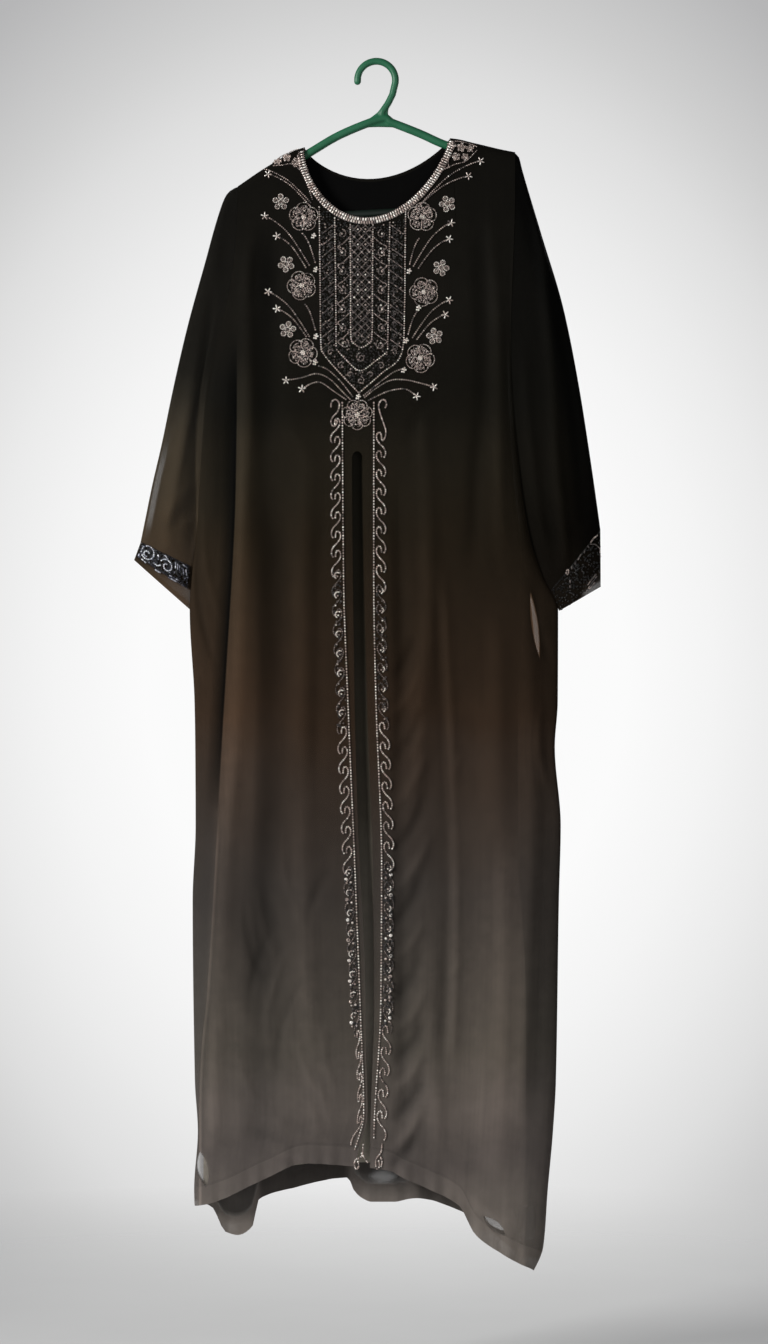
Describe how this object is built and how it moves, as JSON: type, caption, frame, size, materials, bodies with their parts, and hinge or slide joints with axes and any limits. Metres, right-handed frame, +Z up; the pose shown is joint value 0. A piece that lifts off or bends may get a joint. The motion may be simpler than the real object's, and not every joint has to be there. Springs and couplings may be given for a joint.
{
  "type": "kaftan on a hanger",
  "caption": "Long ombre chiffon kaftan with wide sleeves, a front slit and beaded yoke, borders and cuffs, hung flat on a plastic hanger.",
  "frame": {"origin": "inside top of the hanger's hook, where a rail or nail holds it", "axes": "+Z up, +X to the viewer's right along the hanger, the front of the kaftan faces -Y"},
  "size_m": [0.6307, 0.0679, 1.6393],
  "materials": {
    "chiffon_front": "sheer chiffon dyed from black to grey-brown",
    "chiffon_back": "sheer chiffon dyed from black to grey-brown",
    "chiffon_sleeve": "sheer chiffon dyed from black to brown",
    "cuff": "sheer chiffon with dark and silver beads",
    "lining": "smooth opaque lining dyed from black to grey-brown",
    "silver_beading": "cloth covered with silver beads",
    "dark_beading": "cloth covered with dark and silver beads",
    "green_plastic": "moulded, slightly worn"
  },
  "bodies": {
    "root": {"front": "chiffon_front", "back": "chiffon_back", "left_sleeve": "chiffon_sleeve", "right_sleeve": "chiffon_sleeve", "left_cuff": "cuff", "right_cuff": "cuff", "lining_front": "lining", "lining_back": "lining", "neck_band": "silver_beading", "left_border": "silver_beading", "right_border": "silver_beading", "yoke_beading": "dark_beading", "hanger": "green_plastic"}
  },
  "joints": []
}
